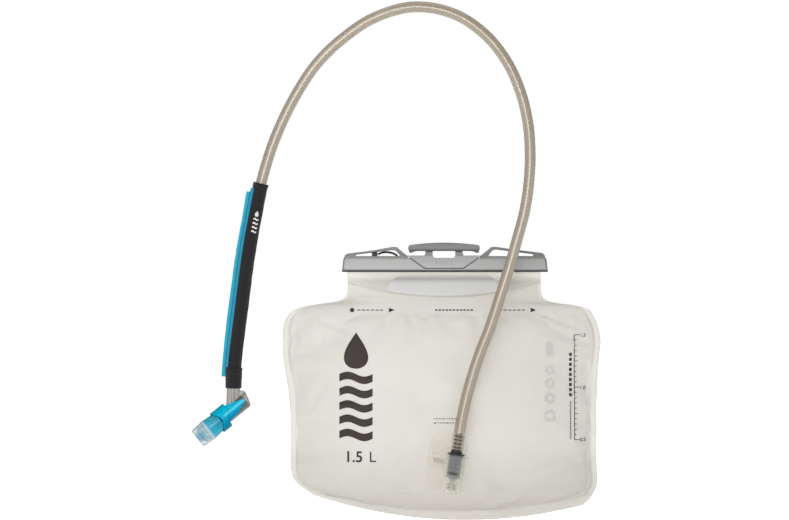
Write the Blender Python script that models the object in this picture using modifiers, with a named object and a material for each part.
"""Hydration bladder: a slide-top reservoir with a quick-release drinking hose and a twist shut-off
bite valve.

Frame: metres, +Z up as it hangs in a pack, +X to the right seen from the front, -Y to the front.
The origin is the middle of the hanger window's upper face, which is the face the bladder hangs by.
Lengths below are in millimetres; the helpers turn them into metres.
"""

import math

import bmesh
import bpy
import numpy as np
from mathutils import Matrix, Vector

for leftover in list(bpy.data.objects):
    bpy.data.objects.remove(leftover)

# ---------------------------------------------------------------- driving dimensions (mm)
FILM = 0.5            # film thickness
FILM_GAP = 0.3        # clearance between neighbouring films
FILM_PITCH = FILM + FILM_GAP
MOUTH_HALF = 84.4     # half width of the folded mouth

RAIL_TOP, RAIL_BOTTOM = -6.2, -18.4
RAIL_FRONT, RAIL_BACK = -7.6, 5.8
RAIL_LEFT, RAIL_RIGHT = -89.6, 91.0
CAVITY_HALF, CAVITY_TOP, CAVITY_FLOOR = 3.9, -8.0, -15.6
SLOT_HALF = 1.85
BEAD_R, BEAD_Z, BEAD_HALF = 1.4, -11.7, 82.5

TUBE_OUT, TUBE_IN = 4.75, 3.25
SLEEVE_OUT, SLEEVE_IN = 6.9, 5.3
CUFF_OUT, CUFF_IN = 7.85, 6.5
BARB_CREST, BARB_LAND = 2.8, 0.4    # radius and length of the widest part of each barb tooth

PLUG_R, SOCKET_R, SOCKET_OUT = 6.1, 6.5, 8.6
PORT_LEAN = math.radians(8.67)      # lean of the socket to the right
PORT_BASE = (6.75, -31.6, -196.6)   # nose of the plug
FLANGE_BACK = -21.5 - PORT_BASE[1]  # Y of the flange's back face in the port's frame
FLANGE_THICK = 2.0
INLET_Z = -7.0                      # height of the inlet in the port's frame

BARREL_OUT, BARREL_IN = 6.95, 5.4
STEM_OUT, STEM_BORE = 5.9, 1.9
VALVE_CENTRE = Vector((-192.8, -32.0, -145.6))
VALVE_LEAN = math.radians(51.1)     # outlet axis, from straight down towards the left
VALVE_NOD = math.radians(7.0)       # outlet axis, towards the front
JUNCTION_DEPTH = 12.0               # where the stem's axis meets the barrel's, behind the centre
STEM_TOP = Vector((-182.8, -30.5, -112.0))

# ---------------------------------------------------------------- collections and materials
PARTS = bpy.data.collections.new("hydration_bladder")
CUTTERS = bpy.data.collections.new("cutters")
bpy.context.scene.collection.children.link(PARTS)
bpy.context.scene.collection.children.link(CUTTERS)


def material(name, colour, roughness, metallic=0.0):
    made = bpy.data.materials.new(name)
    made.use_nodes = True
    inputs = made.node_tree.nodes["Principled BSDF"].inputs
    inputs["Base Color"].default_value = (*colour, 1.0)
    inputs["Roughness"].default_value = roughness
    inputs["Metallic"].default_value = metallic
    return made


FILM_MAT = material("film_tpu", colour=(0.80, 0.78, 0.73), roughness=0.35)
RAIL_MAT = material("rail_plastic", colour=(0.33, 0.34, 0.34), roughness=0.45)
HOOK_MAT = material("hook_plastic", colour=(0.29, 0.30, 0.30), roughness=0.45)
CLEAR_MAT = material("clear_plastic", colour=(0.82, 0.81, 0.77), roughness=0.2)
PLUG_MAT = material("plug_plastic", colour=(0.16, 0.18, 0.20), roughness=0.4)
BLACK_MAT = material("black_rubber", colour=(0.02, 0.02, 0.02), roughness=0.6)
STEEL_MAT = material("spring_steel", colour=(0.6, 0.6, 0.6), roughness=0.3, metallic=1.0)
TUBE_MAT = material("tube_tpu", colour=(0.66, 0.61, 0.53), roughness=0.25)
SLEEVE_MAT = material("sleeve_fabric", colour=(0.03, 0.03, 0.03), roughness=0.85)
TRIM_MAT = material("trim_fabric", colour=(0.02, 0.42, 0.60), roughness=0.7)
ELBOW_MAT = material("elbow_plastic", colour=(0.38, 0.36, 0.34), roughness=0.25)
BLUE_MAT = material("blue_plastic", colour=(0.0, 0.45, 0.75), roughness=0.35)
SILICONE_MAT = material("silicone", colour=(0.62, 0.76, 0.80), roughness=0.3)


# ---------------------------------------------------------------- frames
def frame_matrix(x_axis, y_axis, z_axis, origin):
    """Matrix with the given axes as columns and its origin in millimetres."""
    matrix = Matrix.Identity(4)
    for col, axis in enumerate((x_axis, y_axis, z_axis)):
        for row in range(3):
            matrix[row][col] = axis[row]
    for row in range(3):
        matrix[row][3] = origin[row] / 1000
    return matrix


def frame_along(axis, origin):
    """A frame whose Z runs along the axis."""
    x_axis = axis.orthogonal().normalized()
    return frame_matrix(x_axis, axis.cross(x_axis), axis, origin)


def upright(y_mid):
    """For plates drawn in X and Z, whose thickness runs along Y."""
    return frame_matrix((1, 0, 0), (0, 0, 1), (0, -1, 0), (0, y_mid, 0))


def crosswise(z_mid):
    """For shapes drawn in Y and Z, whose length runs along X."""
    return frame_matrix((0, 1, 0), (0, 0, 1), (1, 0, 0), (0, 0, z_mid))


# Port: Z up the socket. Inlet: Z from front to back through the port.
PORT_AXIS = Vector((math.sin(PORT_LEAN), 0, math.cos(PORT_LEAN)))
PORT = frame_matrix((math.cos(PORT_LEAN), 0, -math.sin(PORT_LEAN)), (0, 1, 0), PORT_AXIS, PORT_BASE)
INLET = PORT @ frame_matrix((1, 0, 0), (0, 0, -1), (0, 1, 0), (0, 0, INLET_Z))

# Bite valve: Z along its outlet, -X on the hose's side, Y to the front.
FRONTWARD = Vector((0, -1, 0))
flat_out = Vector((-math.sin(VALVE_LEAN), 0, -math.cos(VALVE_LEAN)))
valve_side = Vector((math.cos(VALVE_LEAN), 0, -math.sin(VALVE_LEAN)))
valve_out = flat_out * math.cos(VALVE_NOD) + FRONTWARD * math.sin(VALVE_NOD)
valve_near = FRONTWARD * math.cos(VALVE_NOD) - flat_out * math.sin(VALVE_NOD)
VALVE = frame_matrix(valve_side, valve_near, valve_out, VALVE_CENTRE)
JUNCTION = VALVE_CENTRE - valve_out * JUNCTION_DEPTH
STEM_AXIS = (STEM_TOP - JUNCTION).normalized()
STEM = frame_along(STEM_AXIS, STEM_TOP)


# ---------------------------------------------------------------- solids
def place(name, mesh, mat=None, matrix=None):
    obj = bpy.data.objects.new(name, mesh)
    PARTS.objects.link(obj)
    if matrix is not None:
        obj.matrix_world = matrix
    if mat:
        mesh.materials.append(mat)
    return obj


def finish_mesh(name, shape, mat=None, matrix=None, sharp=35):
    """Makes an object of a bmesh, smooth up to the sharp angle in degrees, or flat if it is None."""
    bmesh.ops.recalc_face_normals(shape, faces=shape.faces)
    mesh = bpy.data.meshes.new(name)
    shape.to_mesh(mesh)
    shape.free()
    if sharp is not None:
        mesh.shade_smooth()
        mesh.set_sharp_from_angle(angle=math.radians(sharp))
    return place(name, mesh, mat, matrix)


def box(name, low, high, mat=None, matrix=None, bevel=0.0):
    shape = bmesh.new()
    bmesh.ops.create_cube(shape, size=1.0)
    size = [(h - l) / 1000 for l, h in zip(low, high)]
    middle = [(h + l) / 2000 for l, h in zip(low, high)]
    bmesh.ops.scale(shape, vec=size, verts=shape.verts)
    bmesh.ops.translate(shape, vec=middle, verts=shape.verts)
    obj = finish_mesh(name, shape, mat, matrix, sharp=None)
    if bevel:
        mod = obj.modifiers.new("soft_edges", "BEVEL")
        mod.width = bevel / 1000
        mod.segments = 1
        mod.limit_method = "ANGLE"
    return obj


def cylinder(name, radius, z_low, z_high, mat=None, matrix=None, sides=24):
    """A cylinder along the local Z axis."""
    shape = bmesh.new()
    bmesh.ops.create_cone(shape, cap_ends=True, segments=sides, radius1=radius / 1000,
                          radius2=radius / 1000, depth=(z_high - z_low) / 1000)
    bmesh.ops.translate(shape, vec=(0, 0, (z_low + z_high) / 2000), verts=shape.verts)
    return finish_mesh(name, shape, mat, matrix)


def along(name, radius, start, end, mat=None, sides=24):
    """A cylinder between two points."""
    start, end = Vector(start), Vector(end)
    span = end - start
    return cylinder(name, radius, 0, span.length, mat, frame_along(span.normalized(), start), sides)


def turned(name, profile, mat=None, matrix=None, steps=24):
    """A turned shape from (radius, height) points: a closed loop, or a line ending on the axis."""
    points = [(r / 1000, 0, z / 1000) for r, z in profile]
    edges = [(i, i + 1) for i in range(len(points) - 1)]
    if all(r > 0.01 for r, _ in profile):
        edges.append((len(points) - 1, 0))
    mesh = bpy.data.meshes.new(name)
    mesh.from_pydata(points, edges, [])
    obj = place(name, mesh, mat, matrix)
    mod = obj.modifiers.new("turn", "SCREW")
    mod.axis = "Z"
    mod.steps = mod.render_steps = steps
    mod.use_merge_vertices = True
    mod.merge_threshold = 1e-6
    mod.use_smooth_shade = True
    return obj


def ring(name, major, minor, z, matrix, sides=8):
    """An O-ring around the local Z axis."""
    angles = [2 * math.pi * (0.5 - k) / sides for k in range(sides)]
    profile = [(major + minor * math.cos(a), z + minor * math.sin(a)) for a in angles]
    return turned(name, profile, BLACK_MAT, matrix)


def sheet(name, grid, thickness, mat):
    """A thin curved sheet: an open grid of points with Solidify."""
    cols = len(grid[0])
    shape = bmesh.new()
    bmesh.ops.create_grid(shape, x_segments=cols - 1, y_segments=len(grid) - 1, size=1.0)
    # create_grid numbers its vertices along X first, row by row
    for i, vert in enumerate(shape.verts):
        row, col = divmod(i, cols)
        vert.co = Vector(grid[row][col]) / 1000
    mesh = bpy.data.meshes.new(name)
    shape.to_mesh(mesh)
    shape.free()
    mesh.shade_smooth()
    obj = place(name, mesh, mat)
    mod = obj.modifiers.new("film", "SOLIDIFY")
    mod.thickness = thickness / 1000
    mod.offset = 0
    return obj


# ---------------------------------------------------------------- shapes drawn as curves
def add_polyline(curve, points, cyclic=False):
    spline = curve.splines.new("POLY")
    spline.points.add(len(points) - 1)
    for target, point in zip(spline.points, points):
        target.co = (point[0] / 1000, point[1] / 1000, point[2] / 1000, 1)
    spline.use_cyclic_u = cyclic


def meshed(name, curve, mat=None, matrix=None):
    """Makes a mesh object with welded caps from a curve."""
    drawn = bpy.data.objects.new(name + "_curve", curve)
    PARTS.objects.link(drawn)
    if matrix is not None:
        drawn.matrix_world = matrix
    bpy.context.view_layer.update()
    graph = bpy.context.evaluated_depsgraph_get()
    mesh = bpy.data.meshes.new_from_object(drawn.evaluated_get(graph))
    shape = bmesh.new()
    shape.from_mesh(mesh)
    bmesh.ops.remove_doubles(shape, verts=shape.verts, dist=1e-6)
    bmesh.ops.recalc_face_normals(shape, faces=shape.faces)
    shape.to_mesh(mesh)
    shape.free()
    mesh.materials.clear()
    obj = place(name, mesh, mat, drawn.matrix_world.copy())
    bpy.data.objects.remove(drawn)
    return obj


def outline(name, points, thickness, matrix, mat=None, holes=()):
    """A flat plate: a filled 2D outline, extruded evenly to both sides of its plane."""
    curve = bpy.data.curves.new(name, "CURVE")
    curve.dimensions = "2D"
    curve.fill_mode = "BOTH"
    curve.extrude = thickness / 2000
    for loop in (points, *holes):
        add_polyline(curve, [(x, y, 0) for x, y in loop], cyclic=True)
    return meshed(name, curve, mat, matrix)


def wire(name, points, radius, mat, filled=True, resolution=2):
    """A round wire or tube surface along a polyline."""
    curve = bpy.data.curves.new(name, "CURVE")
    curve.dimensions = "3D"
    curve.bevel_depth = radius / 1000
    curve.bevel_resolution = resolution
    curve.use_fill_caps = filled
    add_polyline(curve, points)
    return meshed(name, curve, mat)


def hollow_tube(name, points, outer, inner, mat, resolution):
    """A hose: an open tube surface with its wall made by Solidify towards the inside."""
    obj = wire(name, points, outer, mat, filled=False, resolution=resolution)
    mod = obj.modifiers.new("wall", "SOLIDIFY")
    mod.thickness = (outer - inner) / 1000
    mod.offset = -1
    mod.use_rim = True
    return obj


def coil(name, matrix, radius, z_start, z_end, turns, wire_radius, per_turn=10):
    """A coil spring around the local Z axis."""
    points = []
    count = turns * per_turn
    for i in range(count + 1):
        angle = 2 * math.pi * i / per_turn
        z = z_start + (z_end - z_start) * i / count
        local = Vector((radius * math.cos(angle), radius * math.sin(angle), z)) / 1000
        points.append(matrix @ local * 1000)
    return wire(name, points, wire_radius, STEEL_MAT, resolution=1)


def rounded(points, radius, steps=3):
    """Rounds each corner of a polygon with the given radius (or one radius for each corner)."""
    result = []
    for i, point in enumerate(points):
        r = radius[i] if isinstance(radius, list) else radius
        before, corner, after = (Vector(p) for p in (points[i - 1], point,
                                                     points[(i + 1) % len(points)]))
        to_before = (before - corner).normalized()
        to_after = (after - corner).normalized()
        half = to_before.angle(to_after) / 2
        # Corners that are left sharp, or are nearly straight, stay as they are
        if r <= 0 or half > math.radians(86):
            result.append(tuple(corner))
            continue
        cut_back = min(r / math.tan(half), 0.48 * (before - corner).length,
                       0.48 * (after - corner).length)
        r = cut_back * math.tan(half)
        centre = corner + (to_before + to_after).normalized() * (r / math.sin(half))
        first = corner + to_before * cut_back - centre
        last = corner + to_after * cut_back - centre
        turn = first.angle_signed(last)
        for k in range(steps + 1):
            angle = -turn * k / steps
            result.append((centre.x + first.x * math.cos(angle) - first.y * math.sin(angle),
                           centre.y + first.x * math.sin(angle) + first.y * math.cos(angle)))
    return result


def spline_points(control, per_span=2):
    """Points along a smooth curve through the control points (centripetal Catmull-Rom)."""
    def blend(start, end, t_start, t_end, t):
        width = t_end - t_start
        return start * ((t_end - t) / width) + end * ((t - t_start) / width)

    path = [Vector(c) for c in control]
    path = [path[0] * 2 - path[1]] + path + [path[-1] * 2 - path[-2]]
    result = []
    for i in range(1, len(path) - 2):
        near = path[i - 1:i + 3]
        knots = [0.0]
        for start, end in zip(near, near[1:]):
            knots.append(knots[-1] + (end - start).length ** 0.5)
        for k in range(per_span):
            t = knots[1] + (knots[2] - knots[1]) * k / per_span
            level = near
            for reach in (1, 2):
                level = [blend(level[j], level[j + 1], knots[j], knots[j + reach], t)
                         for j in range(len(level) - 1)]
            result.append(blend(level[0], level[1], knots[1], knots[2], t))
    return result + [path[-2]]


# ---------------------------------------------------------------- joining and cutting
def boolean(obj, operation, other, name=None):
    """Adds a Boolean, and hides the other body so that it isn't a part of its own."""
    mod = obj.modifiers.new(name or operation.lower() + "_" + other.name, "BOOLEAN")
    mod.operation = operation
    mod.solver = "EXACT"
    mod.object = other
    for owner in list(other.users_collection):
        owner.objects.unlink(other)
    CUTTERS.objects.link(other)
    other.hide_render = True
    other.display_type = "WIRE"


def join(obj, *others):
    for other in others:
        boolean(obj, "UNION", other)


def cut(obj, *others):
    for other in others:
        boolean(obj, "DIFFERENCE", other)


# ---------------------------------------------------------------- the pouch films
FRONT, BACK = -1, 1
# Rows from the bottom weld up to the slot: height of the left and right ends, drop of the middle,
# left and right edge.
ROWS = [
    (-214.5, -223.0, 17.2, -114.0, 122.0),
    (-210.0, -217.5, 16.5, -121.0, 128.0),
    (-204.5, -210.0, 13.5, -128.5, 132.5),
    (-199.0, -203.0, 9.0, -132.5, 134.5),
    (-190.0, -190.0, 4.5, -134.6, 134.2),
    (-175.0, -175.0, 1.5, -134.8, 133.7),
    (-158.0, -158.0, 0.5, -134.5, 133.5),
    (-140.0, -140.0, 0.0, -135.0, 133.6),
    (-120.0, -120.0, 0.0, -137.0, 134.5),
    (-104.0, -104.0, 0.0, -139.5, 135.2),
    (-91.0, -91.0, 0.0, -141.3, 136.4),
    (-78.0, -78.0, 0.0, -141.2, 137.5),
    (-66.0, -66.0, 0.0, -140.8, 135.0),
    (-57.0, -57.0, 0.0, -137.0, 131.0),
    (-51.0, -51.0, 0.0, -130.0, 126.5),
    (-47.8, -47.8, 0.0, -119.0, 116.0),
    (-45.8, -45.8, 0.0, -104.0, 101.0),
    (-43.8, -43.8, 0.0, -93.0, 91.5),
    (-40.5, -40.5, 0.0, -86.5, 86.8),
    (-35.0, -35.0, 0.0, -84.6, 85.0),
    (-29.0, -29.0, 0.0, -84.4, 84.8),
    (-24.0, -24.0, 0.0, -84.6, 84.8),
    (-20.8, -20.8, 0.0, -84.7, 84.8),
]
# Places across the width, from -1 at the left edge to 1 at the right.
FLAT_SHARE, WELD_SHARE = 0.235, 0.965
COLUMNS = [-1, -WELD_SHARE, -0.88, -0.76, -0.62, -0.48, -0.35, -FLAT_SHARE, 0,
           FLAT_SHARE, 0.35, 0.48, 0.62, 0.76, 0.88, WELD_SHARE, 1]
# Depth of the bulge at the middle of the pouch, by height: fullest low down, where water hangs.
BULGE_Z = [-236, -230, -221, -215, -210, -140, -120, -100, -70, -48, -36, -29, -24, -20.8]
BULGE_DEPTH = {
    FRONT: [0, 3.2, 11.0, 17.5, 20.5, 20.5, 19.2, 16.8, 12.4, 8.2, 5.2, 3.4, 1.6, 0.4],
    BACK: [0, 2.6, 8.5, 13.0, 15.5, 17.0, 16.2, 14.2, 10.2, 6.4, 4.0, 2.6, 1.2, 0.3],
}
FLAP_OFFSET = 0.95             # from the front film to the front film's own flap
FLAP_SHARES = (0.18, 0.55, 1.0)
BEAD_CLEARANCE = 0.1


def cross_bulge(across):
    """Share of the bulge across the width: flat in the middle, nothing on the weld."""
    distance = abs(across)
    if distance <= FLAT_SHARE:
        return 1.0
    if distance >= WELD_SHARE:
        return 0.0
    return (1 - ((distance - FLAT_SHARE) / 0.73) ** 2.4) ** 0.8


def body_y(z, across, face):
    """Y of a film's mid surface. The films shift to the back as they rise into the slot."""
    lean = float(np.interp(z, [-27, -19], [0.0, 0.8]))
    bulge = float(np.interp(z, BULGE_Z, BULGE_DEPTH[face])) * cross_bulge(across)
    return face * FILM_PITCH / 2 + lean + face * bulge


def flap_edge(across):
    """Free edge of the folded mouth, hanging lowest in the middle."""
    return -28.0 - 12.4 * (1 - across * across)


def film_grid(face):
    """Points from the bottom weld, up the pouch, over the bead in the rail and down the flap."""
    extra = FILM_PITCH if face == BACK else 0    # the back film wraps round the front film
    slot_y = FILM_PITCH / 2 + extra
    arc_r = BEAD_R + BEAD_CLEARANCE + FILM_GAP + FILM / 2 + extra
    grid = []
    for z_left, z_right, drop, x_left, x_right in ROWS:
        row = []
        for across in COLUMNS:
            share = (across + 1) / 2
            z = z_left + (z_right - z_left) * share - drop * (1 - across * across)
            row.append((x_left + (x_right - x_left) * share, body_y(z, across, face), z))
        grid.append(row)
    # Y, Z and half width through the slot, round the bead and out again
    rise = [(slot_y, -18.5, 84.6), (slot_y + 0.05, -15.8, 84.3), (slot_y + 0.95, -13.7, 83.6)]
    arc = [(arc_r * math.cos(angle), BEAD_Z + arc_r * math.sin(angle), 83.0)
           for angle in (math.pi * k / 6 for k in range(7))]
    fall = [(-y, z, half) for y, z, half in reversed(rise)]
    for y, z, half in rise + arc + fall:
        grid.append([(half * across, y, z) for across in COLUMNS])
    flap_top = -19.2
    for share in FLAP_SHARES:
        row = []
        for across in COLUMNS:
            z = flap_top + (flap_edge(across) - flap_top) * share
            y = min(body_y(z, across, FRONT) - (FLAP_OFFSET + extra), -slot_y)
            row.append((MOUTH_HALF * across, y, z))
        grid.append(row)
    return grid


def build_films():
    front_film = sheet("front_film", film_grid(FRONT), FILM, FILM_MAT)
    sheet("back_film", film_grid(BACK), FILM, FILM_MAT)
    # Hole through the pouch's front behind the port's inlet
    cut(front_film, cylinder("film_hole", 4.4, z_low=6.5, z_high=13.5, matrix=INLET, sides=20))


TAB_HALF, TAB_TOP = 50.0, -21.6
TAB_OFFSET = 2.9               # in front of the front film
TAB_OVERLAP = 1.2              # the tab's lower edge stops this far above the flap's


def build_mouth_tab():
    """Semi-rigid pull tab on the folded mouth, a little narrower at its top."""
    grid = []
    for share in (0.0, 0.33, 0.67, 1.0):
        row = []
        for k in range(9):
            x = -TAB_HALF + 2 * TAB_HALF * k / 8
            across = x / MOUTH_HALF
            z = TAB_TOP + (flap_edge(across) + TAB_OVERLAP - TAB_TOP) * share
            narrowing = 1 - 0.06 * (1 - share)
            row.append((x * narrowing, body_y(z, across, FRONT) - TAB_OFFSET, z))
        grid.append(row)
    sheet("mouth_tab", grid, 0.7, CLEAR_MAT)


def build_seal_bead():
    """The bead that the mouth is folded round."""
    along("seal_bead", BEAD_R, (-BEAD_HALF, 0, BEAD_Z), (BEAD_HALF, 0, BEAD_Z), FILM_MAT, sides=16)


# ---------------------------------------------------------------- the slide rail
# Section of the rail (Y, Z): round the outside from the slot, then round the cavity.
CHANNEL = [
    (-SLOT_HALF, RAIL_BOTTOM), (-5.6, RAIL_BOTTOM), (-6.9, -17.5), (RAIL_FRONT, -15.9),
    (-7.5, -15.2), (-6.9, -7.2), (-6.1, RAIL_TOP), (4.9, RAIL_TOP), (RAIL_BACK, -7.1),
    (RAIL_BACK, -17.4), (5.0, RAIL_BOTTOM), (SLOT_HALF, RAIL_BOTTOM),
    (SLOT_HALF, CAVITY_FLOOR), (3.4, CAVITY_FLOOR), (CAVITY_HALF, -14.9), (CAVITY_HALF, -9.0),
    (3.1, CAVITY_TOP), (-3.1, CAVITY_TOP), (-CAVITY_HALF, -9.0), (-CAVITY_HALF, -14.9),
    (-3.4, CAVITY_FLOOR), (-SLOT_HALF, CAVITY_FLOOR),
]
# Outlines seen from the front (X, Z).
RAIL_FACE = [(RAIL_LEFT, -18.9), (RAIL_RIGHT, -18.9),
             (RAIL_RIGHT - 1.9, -3.2), (RAIL_LEFT + 1.9, -3.2)]
END_WALL = [(-89.2, -18.1), (-87.8, -6.9), (-86.4, -6.9), (-87.8, -18.1)]
POCKET = [(-34.6, -3.0), (34.6, -3.0), (17.0, -15.5), (-17.0, -15.5)]
# Each grip: its outer outline and its opening.
GRIPS = {
    "left": ([(-87.3, -7.4), (-87.3, -3.9), (-85.0, -2.3), (-61.6, 0.7), (-45.0, 3.7),
              (-41.8, 3.7), (-31.9, -4.6), (-31.9, -7.4)],
             [(-78.2, -4.4), (-77.6, -3.2), (-62.0, -1.4), (-45.6, 0.8), (-42.7, 0.6),
              (-38.0, -4.4)]),
    "right": ([(31.9, -7.4), (31.9, -4.6), (41.8, 3.7), (45.0, 3.8), (61.6, 1.4),
               (86.6, -1.7), (88.7, -3.8), (88.7, -7.4)],
              [(38.4, -4.4), (43.0, 0.9), (45.8, 1.3), (62.0, -0.8), (78.4, -2.8),
               (79.0, -4.4)]),
}


def build_slide_rail():
    rail = outline("slide_rail", CHANNEL, 2 * 92, crosswise(0), RAIL_MAT)
    face = rounded(RAIL_FACE, [1.0, 1.0, 2.5, 2.5])
    boolean(rail, "INTERSECT", outline("rail_face_cutter", face, 30, upright(0)))
    # Wall that closes the left end, so the rail stops when it is fully home
    join(rail, outline("rail_end_wall", END_WALL, 9.4, upright(-0.4)))
    # Open triangular grips standing on the top of the rail
    for tag, (outer, opening) in GRIPS.items():
        join(rail, outline("grip_" + tag, rounded(outer, 0.8, 2), 3.0, upright(2.4),
                           holes=[rounded(opening, 0.4, 1)]))
    # Pocket in the front face for the hanger's plate
    cut(rail, outline("hanger_pocket", POCKET, 6.0, upright(-8.35)))


# ---------------------------------------------------------------- the hanger
# Outlines seen from the front (X, Z).
HANGER_PLATE = [(-33.0, -3.9), (33.0, -3.9), (16.7, -15.1), (-16.7, -15.1)]
HANGER_BRIDGE = [(-31.0, -5.8), (31.0, -5.8), (31.0, -3.9), (-31.0, -3.9)]
HANGER_STEMS = [(-17.2, -5.0), (17.2, -5.0), (15.6, 1.6), (-15.6, 1.6)]
BAR_LEFT = [(-31.6, 2.6), (-30.3, -1.5), (-28.7, -1.8), (-26.2, -0.5), (-23.5, 0.0)]
BAR_TOP_HALF, BAR_TOP_Z, BAR_CROWN = 30.4, 5.2, 2.2    # arched top: half width, ends, rise
HANGER_WINDOW = [(-10.0, 0.0), (10.0, 0.0), (10.0, -6.0), (-10.0, -6.0)]


def build_hanger():
    """A plate in the rail's pocket, bridged over the rail's top to an arched bar above it."""
    hanger = outline("hanger_hook", HANGER_PLATE, 2.0, upright(-6.65), HOOK_MAT)
    bar_right = [(-x, z) for x, z in reversed(BAR_LEFT)]
    bar_top = [(-BAR_TOP_HALF + 2 * BAR_TOP_HALF * k / 12,
                BAR_TOP_Z + BAR_CROWN * (1 - ((k - 6) / 6) ** 2)) for k in range(13)]
    join(hanger,
         outline("hanger_bridge", HANGER_BRIDGE, 9.2, upright(-3.05)),
         outline("hanger_stems", HANGER_STEMS, 4.4, upright(0)),
         outline("hanger_bar", BAR_LEFT + bar_right + bar_top[::-1], 5.6, upright(0)))
    window = rounded(HANGER_WINDOW, [0.6, 0.6, 2.4, 2.4])
    cut(hanger, outline("hanger_window", window, 40, upright(0)))


# ---------------------------------------------------------------- tether between rail and pouch
CORD_PATH = [
    (-57.3, 8.0, -2.6), (-54.0, 8.0, -1.4), (-49.8, 8.0, -1.0), (-45.6, 8.0, -2.0),
    (-42.2, 8.4, -5.4), (-41.0, 9.2, -15.0), (-39.0, 10.6, -30.0), (-35.5, 13.6, -48.0),
    (-30.5, 16.6, -64.0), (-23.0, 18.0, -73.5), (-14.0, 17.6, -72.5), (-7.0, 15.0, -61.0),
    (-2.5, 11.8, -49.5), (1.5, 9.2, -41.5), (4.5, 7.2, -36.8),
]
CORD_R = 0.95


def build_tether():
    box("tether_crimp", (-63.4, 6.1, -10.0), (-58.4, 9.3, -0.9), BLACK_MAT, bevel=0.6)
    box("tether_anchor", (0.0, 5.0, -35.0), (11.0, 6.5, -27.4), FILM_MAT, bevel=0.5)
    wire("tether_cord", spline_points(CORD_PATH), CORD_R, BLACK_MAT)


# ---------------------------------------------------------------- the port, in its own frame
FLANGE = [(-23.4, -13.2), (9.6, -13.2), (9.6, 38.4), (-23.4, 38.4)]    # X, Z
# Ledges left of the socket: height and right end.
BUTTON_GUIDES = {"low": (7.0, -6.8), "high": (25.2, -9.0)}
VALVE_CAP = [(0, -10.6), (4.7, -10.6), (4.7, -12.9), (6.2, -12.9), (6.2, -14.1), (0, -14.1)]
CHECK_POPPET = [(0, -0.35), (1.3, -0.35), (1.6, -0.7), (1.6, -5.2), (4.3, -5.4), (4.3, -6.5),
                (0, -6.5)]


def build_port_body():
    """An oval flange on the pouch with the plug's socket standing in front of it."""
    oval = rounded(FLANGE, [15.5, 13.0, 12.0, 12.0], 6)
    body = outline("port_body", oval, FLANGE_THICK, PORT @ upright(FLANGE_BACK - FLANGE_THICK / 2),
                   CLEAR_MAT)
    join(body,
         cylinder("socket_outside", SOCKET_OUT, -12.6, 18.2, matrix=PORT, sides=28),
         box("socket_web", (-5.5, 2.0, -12.0), (5.5, FLANGE_BACK - 0.6, 17.6), matrix=PORT))
    for tag, (z, right) in BUTTON_GUIDES.items():
        join(body, box("button_guide_" + tag, (-22.5, -3.4, z), (right, FLANGE_BACK - 0.8, z + 1.5),
                       matrix=PORT))
    cut(body,
        cylinder("socket_bore", SOCKET_R, -0.6, 30.0, matrix=PORT, sides=28),
        cylinder("valve_seat_bore", 3.0, -3.5, 0.5, matrix=PORT, sides=20),
        cylinder("valve_chamber", 5.0, -20.0, -2.0, matrix=PORT),
        cylinder("inlet_hole", 3.2, -2.0, 12.0, matrix=INLET, sides=20))


def build_check_valve():
    turned("valve_cap", VALVE_CAP, CLEAR_MAT, PORT)
    turned("check_poppet", CHECK_POPPET, BLACK_MAT, PORT, steps=20)
    coil("poppet_spring", PORT, radius=3.3, z_start=-9.9, z_end=-7.2, turns=3, wire_radius=0.33)


LATCH_PLATE = [(-20.6, -8.4), (10.4, -8.4), (10.4, 7.6), (-20.6, 7.6)]    # X, Y
LATCH_Z, LATCH_THICK = 19.1, 1.2
LATCH_HOLE_R, LATCH_TRAVEL = 6.6, 2.1    # the hole is lengthened to the left by the travel
THUMB_RIB_Z = (11.0, 13.4, 21.2, 23.2)


def build_release_latch():
    """A thumb pad on the left of a plate with a long hole round the plug, and its spring."""
    hole = []
    for k in range(24):
        angle = 2 * math.pi * k / 24
        shift = LATCH_TRAVEL if math.cos(angle) < -0.01 else 0
        hole.append((LATCH_HOLE_R * math.cos(angle) - shift, LATCH_HOLE_R * math.sin(angle)))
    latch = outline("release_latch", rounded(LATCH_PLATE, [0.5, 3.0, 3.0, 0.5], 2), LATCH_THICK,
                    PORT @ Matrix.Translation((0, 0, LATCH_Z / 1000)), CLEAR_MAT,
                    holes=[hole[::-1]])
    join(latch, box("thumb_pad", (-23.4, -6.0, 9.4), (-20.0, 5.6, 24.2), matrix=PORT, bevel=0.7))
    for z in THUMB_RIB_Z:
        join(latch, box("thumb_rib", (-24.0, -4.6, z), (-22.8, 4.2, z + 0.8), matrix=PORT))
    coil("latch_spring", PORT @ crosswise(13.2), radius=1.7, z_start=-19.3, z_end=-9.4, turns=5,
         wire_radius=0.3)


# ---------------------------------------------------------------- quick-release plug
GROOVE_COUNT, GROOVE_TOP, GROOVE_PITCH, GROOVE_DEPTH = 5, 17.2, 2.1, 0.3
PLUG_BARB_ROOT = 2.45
# Flange, O-ring seat and collar between the barb and the grooves (radius, height).
PLUG_COLLAR = [(PLUG_BARB_ROOT, 24.5), (4.6, 24.5), (4.6, 23.6), (3.1, 23.6), (3.1, 21.2),
               (7.5, 21.2), (7.6, 20.2), (PLUG_R, 20.0)]
# Lower O-ring's seat and the nose (radius, height).
PLUG_NOSE = [(PLUG_R, 5.6), (4.55, 5.6), (4.55, 3.0), (PLUG_R, 3.0), (PLUG_R, 0.9), (5.3, 0.0),
             (1.9, 0.0)]


def barb_teeth(count, first_top, pitch, taper, root):
    """Profile of hose-barb teeth, from the top down."""
    points = []
    for k in range(count):
        crest = first_top - pitch * k - taper
        points += [(BARB_CREST, crest), (BARB_CREST, crest - BARB_LAND), (root, crest - BARB_LAND)]
    return points


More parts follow.
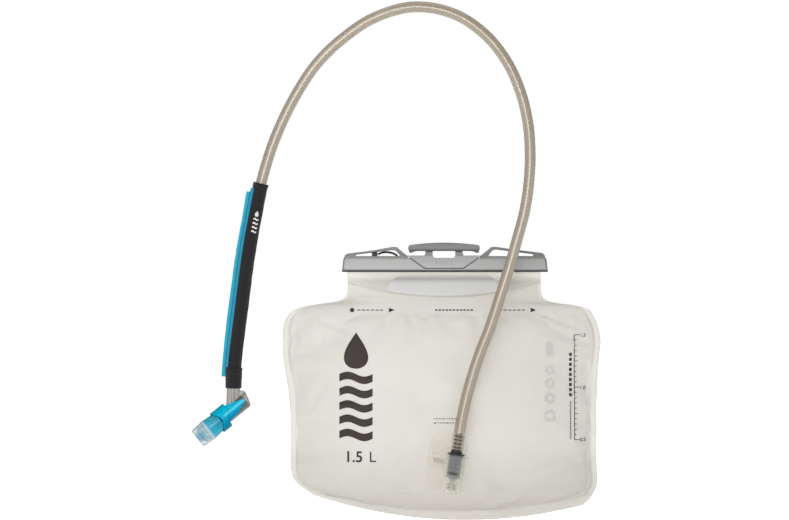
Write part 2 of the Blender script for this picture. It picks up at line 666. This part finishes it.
def build_plug():
    grooves = []
    for k in range(GROOVE_COUNT):
        top = GROOVE_TOP - GROOVE_PITCH * k
        floor = PLUG_R - GROOVE_DEPTH
        grooves += [(PLUG_R, top), (floor, top - 0.3), (floor, top - 0.7), (PLUG_R, top - 1.0)]
    teeth = barb_teeth(count=4, first_top=38.0, pitch=3.2, taper=1.8, root=PLUG_BARB_ROOT)
    profile = [(1.9, 38.8), (2.4, 38.8)] + teeth + PLUG_COLLAR + grooves + PLUG_NOSE
    turned("plug_body", profile, PLUG_MAT, PORT, steps=20)
    ring("plug_oring_lower", major=5.48, minor=0.62, z=4.3, matrix=PORT)
    ring("plug_oring_upper", major=4.35, minor=0.9, z=22.4, matrix=PORT)


# ---------------------------------------------------------------- drinking hose
HOSE_START = Vector(PORT_BASE) + PORT_AXIS * 24.9
HOSE_END = STEM_TOP + STEM_AXIS * 0.4
# Centreline (X, Y, Z) between the straight ends, from the plug over the top to the bite valve.
HOSE_BENDS = [
    (14.6, -31.6, -146.2), (19.3, -31.6, -124.8), (25.2, -31.7, -104.0), (31.4, -32.0, -85.8),
    (38.3, -32.8, -68.5), (46.9, -33.8, -42.5), (55.1, -34.6, -16.5), (62.4, -35.4, 9.4),
    (69.2, -36.4, 35.3), (72.8, -37.6, 61.1), (73.6, -39.0, 87.0), (71.2, -40.6, 112.8),
    (64.6, -42.2, 138.5), (53.0, -43.6, 163.4), (35.0, -44.6, 185.7), (8.6, -45.0, 203.4),
    (-25.8, -45.0, 209.9), (-59.4, -44.4, 201.2), (-86.1, -43.3, 184.2), (-110.2, -41.8, 161.4),
    (-130.5, -39.8, 130.6), (-147.0, -37.8, 95.6), (-157.9, -36.0, 61.2), (-164.3, -34.8, 31.0),
    (-169.8, -33.8, 0.7), (-174.5, -32.8, -33.8), (-178.4, -31.8, -64.1), (-181.2, -30.9, -86.0),
]
SLEEVE_TOP, SLEEVE_BOTTOM = 58.2, -102.4
# Spine of the binding along the sleeve's left side.
TRIM_SPINE = [
    (-169.5, -35.2, 51.3), (-173.0, -34.7, 30.0), (-178.6, -33.7, -0.6), (-183.4, -32.7, -35.0),
    (-187.4, -31.7, -65.4), (-190.3, -30.9, -88.0), (-192.2, -30.6, -103.0),
    (-192.5, -30.5, -108.6),
]
TRIM_SECTION = [(-2.2, -0.3), (-0.3, 0.0), (1.2, 0.25)]    # X and Z offsets from the spine


def stretch_of_hose(centreline, z_top, z_bottom):
    """The part of the centreline on the mouthpiece side between two heights."""
    down = [p for p in centreline if p.x < -150]

    def point_at(z):
        return next(upper.lerp(lower, (upper.z - z) / (upper.z - lower.z))
                    for upper, lower in zip(down, down[1:]) if upper.z >= z >= lower.z)

    # Points within 2 mm of an end are left out, so that no segment is very short
    between = [p for p in down if z_bottom + 2 < p.z < z_top - 2]
    return [point_at(z_top)] + between + [point_at(z_bottom)]


def build_hose():
    bends = spline_points([HOSE_START + PORT_AXIS * 14.5, *HOSE_BENDS, STEM_TOP + STEM_AXIS * 14.6])
    centreline = [HOSE_START] + bends + [HOSE_END]
    hollow_tube("drinking_tube", centreline, TUBE_OUT, TUBE_IN, TUBE_MAT, resolution=3)
    hollow_tube("tube_sleeve", stretch_of_hose(centreline, SLEEVE_TOP, SLEEVE_BOTTOM),
                SLEEVE_OUT, SLEEVE_IN, SLEEVE_MAT, resolution=4)
    hollow_tube("sleeve_cuff", [STEM_TOP + STEM_AXIS * t for t in (8.5, 0.8, -6.8)],
                CUFF_OUT, CUFF_IN, SLEEVE_MAT, resolution=4)


def build_sleeve_trim():
    """Binding: a strip swept beside the sleeve."""
    grid = [[(p.x + dx, p.y, p.z + dz) for dx, dz in TRIM_SECTION]
            for p in spline_points(TRIM_SPINE)]
    sheet("sleeve_trim", grid, 2.4, TRIM_MAT)


# ---------------------------------------------------------------- bite valve elbow
ELBOW_WEB = [(-9.5, -26.9), (-8.8, -28.6), (-7.2, -30.2), (-5.7, -30.0), (-5.7, -23.0),
             (-9.1, -24.6)]    # X, Z
ELBOW_BARB_ROOT = 2.4
SLANT, SLANT_Z = math.radians(15), -28.9    # the barrel's closed end, at its axis
FAR_CORNER_R, CUTTER_MARGIN = 2.6, 3.0


def far_corner_outline():
    """Outline (X, Z) of what is cut away to round the corner opposite the hose."""
    drop = math.tan(SLANT) * BARREL_OUT
    corner = [(BARREL_OUT, -12.0), (BARREL_OUT, SLANT_Z + drop), (-BARREL_OUT, SLANT_Z - drop)]
    arc = rounded(corner, [0, FAR_CORNER_R, 0], 4)[1:-1]
    below = arc[-1][1] - CUTTER_MARGIN
    beside = BARREL_OUT + CUTTER_MARGIN
    return arc + [(arc[-1][0], below), (beside, below), (beside, arc[0][1])]


def build_valve_elbow():
    elbow = cylinder("valve_elbow", BARREL_OUT, -34.0, -4.6, ELBOW_MAT, VALVE, sides=28)
    teeth = barb_teeth(count=3, first_top=12.8, pitch=3.6, taper=1.9, root=ELBOW_BARB_ROOT)
    barb = [(0, 13.4), (2.3, 13.4)] + teeth + [(ELBOW_BARB_ROOT, -2.0), (0, -2.0)]
    join(elbow,
         along("elbow_stem", STEM_OUT, JUNCTION, STEM_TOP),
         turned("elbow_barb", barb, matrix=STEM, steps=20),
         outline("elbow_web", ELBOW_WEB, 7.4, VALVE @ upright(0)))
    # The closed end is cut off at a slant, and its far corner is rounded
    slant = (VALVE @ Matrix.Translation((0, 0, SLANT_Z / 1000))
             @ Matrix.Rotation(-SLANT, 4, "Y"))
    cut(elbow,
        cylinder("barrel_bore", BARREL_IN, -26.2, 0.0, matrix=VALVE, sides=28),
        along("stem_bore", STEM_BORE, JUNCTION, STEM_TOP + STEM_AXIS * 20, sides=16),
        box("slant_cutter", (-20, -20, -30), (20, 20, 0), matrix=slant),
        outline("far_corner", far_corner_outline(), 40, VALVE @ upright(0)))


# ---------------------------------------------------------------- rotating shut-off core
# Spout, collar and plug with its O-ring groove (radius, height).
CORE_PROFILE = [
    (3.2, 13.0), (4.4, 13.0), (5.9, 11.6), (5.9, 10.6), (5.2, 10.4), (5.2, 1.0), (8.8, 0.4),
    (9.6, 0.2), (9.6, -3.6), (8.6, -4.2), (5.1, -4.2), (5.1, -21.5), (3.95, -21.5),
    (3.95, -23.0), (5.1, -23.0), (5.1, -24.4), (3.2, -24.4),
]
COLLAR_SHELL = [(10.15, 6.0), (10.15, -9.0), (9.3, -9.0), (9.3, 6.0)]
# Side outline (X, Z) kept of the collar's shell: its rear edge is deeper on the hose's side, and
# its outlet edge dips to the collar in a parabola between the two ears.
SADDLE_REAR = [(-10.6, -9.6), (-2.6, -9.6), (1.6, -5.4), (6.0, -3.9), (10.6, -3.4)]
SADDLE_X = (9.4, 8.2, 6.6, 5.0, 3.4, 1.7, 0.0, -1.7, -3.4, -5.0, -6.6, -8.2, -9.4)
SADDLE = (SADDLE_REAR + [(10.6, 6.6)] + [(x, 0.5 + 0.062 * x * x) for x in SADDLE_X]
          + [(-10.6, 6.6)])
TONGUE = [(-8.4, -2.0), (-8.0, -8.2), (-6.0, -13.4), (-2.9, -23.6), (-1.2, -25.7), (0.6, -25.2),
          (4.0, -16.8), (5.4, -8.0), (6.4, -2.0)]    # X, Z
TONGUE_RADII = [0, 1.5, 2, 1.5, 1, 1, 2, 2, 0]
TONGUE_SHAPE = [(9.8, 0.0), (9.8, -27.0), (8.5, -27.0), (8.5, 0.0)]


def build_collar_shell():
    """Shell round the collar that ends in two finger ears."""
    shell = turned("collar_shell", COLLAR_SHELL, matrix=VALVE, steps=36)
    boolean(shell, "INTERSECT", outline("saddle", SADDLE, 30, VALVE @ upright(0)), name="saddle")
    return shell


def build_tongue():
    """Pointer lying along the front of the barrel, curved to it."""
    tongue = outline("tongue", rounded(TONGUE, TONGUE_RADII, 2), 6.4, VALVE @ upright(7.6))
    boolean(tongue, "INTERSECT", turned("tongue_shape", TONGUE_SHAPE, matrix=VALVE, steps=36),
            name="curved")
    return tongue


def build_shutoff_core():
    core = turned("shutoff_core", CORE_PROFILE, BLUE_MAT, VALVE, steps=28)
    join(core,
         cylinder("core_floor", 3.6, -24.4, -23.2, matrix=VALVE, sides=20),
         build_collar_shell(),
         build_tongue())
    # Side port that lines up with the stem when the valve is open
    cut(core, along("core_port", 2.4, JUNCTION, JUNCTION + STEM_AXIS * 8.0, sides=16))
    ring("core_oring", major=4.66, minor=0.42, z=-22.25, matrix=VALVE, sides=6)


# ---------------------------------------------------------------- silicone mouthpiece
# Sections (half width in X, half width in Y, Z): up the outside from a round sleeve over the spout
# to an oval tip with a slit, then back down the inside.
MOUTH_SECTIONS = [
    (5.5, 5.5, 1.4), (8.3, 8.0, 1.4), (8.8, 8.2, 6.0), (9.4, 8.4, 13.0), (9.9, 8.6, 15.4),
    (9.4, 7.6, 17.2), (9.0, 5.8, 25.2), (8.3, 4.8, 27.2), (4.6, 1.0, 26.6), (4.6, 1.0, 24.0),
    (7.0, 5.0, 22.0), (7.2, 6.4, 14.6), (6.2, 6.2, 12.6), (6.2, 6.2, 10.2), (5.5, 5.5, 9.8),
]
MOUTH_SIDES = 24
MOUTH_POWER = 0.85    # below 1 the sections are slightly squarer than ellipses


def squared(value):
    return math.copysign(abs(value) ** MOUTH_POWER, value)


def build_mouthpiece():
    shape = bmesh.new()
    angles = [2 * math.pi * k / MOUTH_SIDES for k in range(MOUTH_SIDES)]
    loops = []
    for half_x, half_y, z in MOUTH_SECTIONS:
        points = [(half_x * squared(math.cos(a)), half_y * squared(math.sin(a)), z) for a in angles]
        loops.append([shape.verts.new(Vector(p) / 1000) for p in points])
    for lower, upper in zip(loops, loops[1:] + loops[:1]):
        for k in range(MOUTH_SIDES):
            n = (k + 1) % MOUTH_SIDES
            shape.faces.new((lower[k], lower[n], upper[n], upper[k]))
    finish_mesh("bite_mouthpiece", shape, SILICONE_MAT, VALVE, sharp=50)


build_films()
build_mouth_tab()
build_seal_bead()
build_slide_rail()
build_hanger()
build_tether()
build_port_body()
build_check_valve()
build_release_latch()
build_plug()
build_hose()
build_sleeve_trim()
build_valve_elbow()
build_shutoff_core()
build_mouthpiece()
